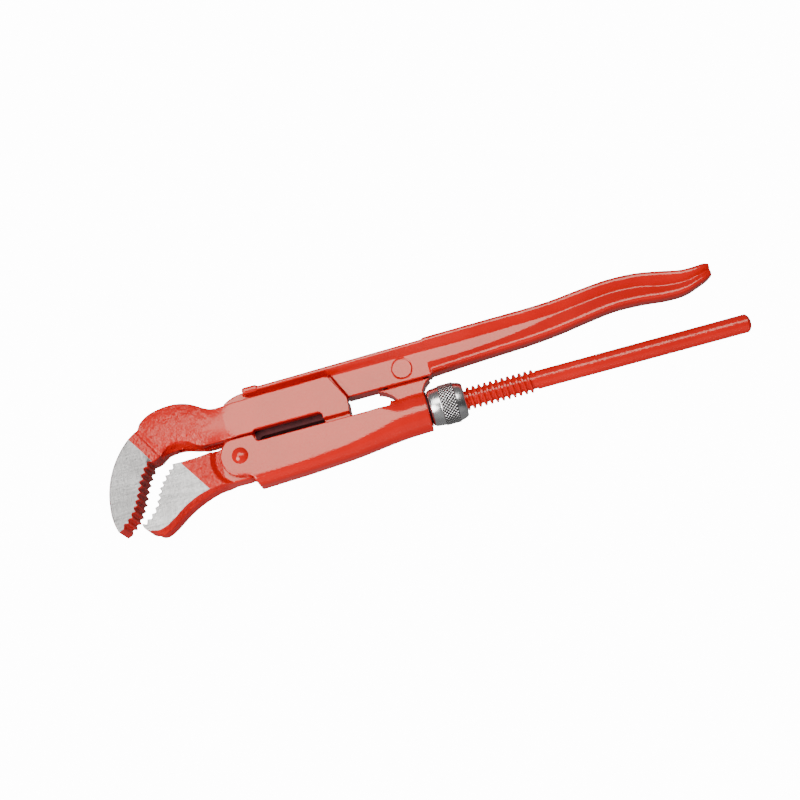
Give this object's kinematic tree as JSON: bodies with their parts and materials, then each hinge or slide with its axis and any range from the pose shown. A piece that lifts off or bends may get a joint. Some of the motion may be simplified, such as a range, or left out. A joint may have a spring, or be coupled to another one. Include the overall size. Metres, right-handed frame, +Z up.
{
  "type": "pipe wrench",
  "caption": "Swedish-pattern pipe wrench: S-shaped jaws, handle pivoted on a channel housing, and a threaded spindle drawn by a knurled nut.",
  "frame": {"origin": "below the middle of the bounding box, on the surface the wrench lies on", "axes": "+X along the spindle towards the grip ends, +Y across the tool towards the handle, +Z up through the thickness"},
  "size_m": [0.3336, 0.0685, 0.021],
  "materials": {
    "red_enamel": "gloss",
    "plated_steel": "satin",
    "steel": "satin"
  },
  "bodies": {
    "housing_body": {"housing": "red_enamel", "pivot_rivet": "red_enamel", "thrust_washer": "steel", "retaining_ring": "steel"},
    "handle_body": {"handle": "red_enamel", "handle_rivet": "red_enamel", "handle_spring": "steel"},
    "jaw_body": {"outer_jaw": "red_enamel", "spindle": "red_enamel", "spindle_pin": "steel"},
    "nut_body": {"adjusting_nut": "plated_steel"}
  },
  "joints": [
    {"name": "handle_swing", "type": "hinge", "parent": "housing_body", "child": "handle_body", "pos_m": [-0.09723, -0.00597, 0.0105], "axis": [0, 0, 1], "range_deg": [-0.5, 0.8], "stiffness_Nm_per_rad": 2, "deforming": ["handle_spring"]},
    {"name": "jaw_slide", "type": "slide", "parent": "housing_body", "child": "jaw_body", "axis": [-1, 0, 0], "range_m": [0, 0.033]},
    {"name": "nut_turn", "type": "hinge", "parent": "housing_body", "child": "nut_body", "pos_m": [0.00977, -0.00597, 0.0105], "axis": [1, 0, 0], "range_deg": [0, 3960.5]}
  ],
  "couplings": [
    {"joint": "nut_turn", "follows": "jaw_slide", "rad_per_m": 2094.4}
  ]
}
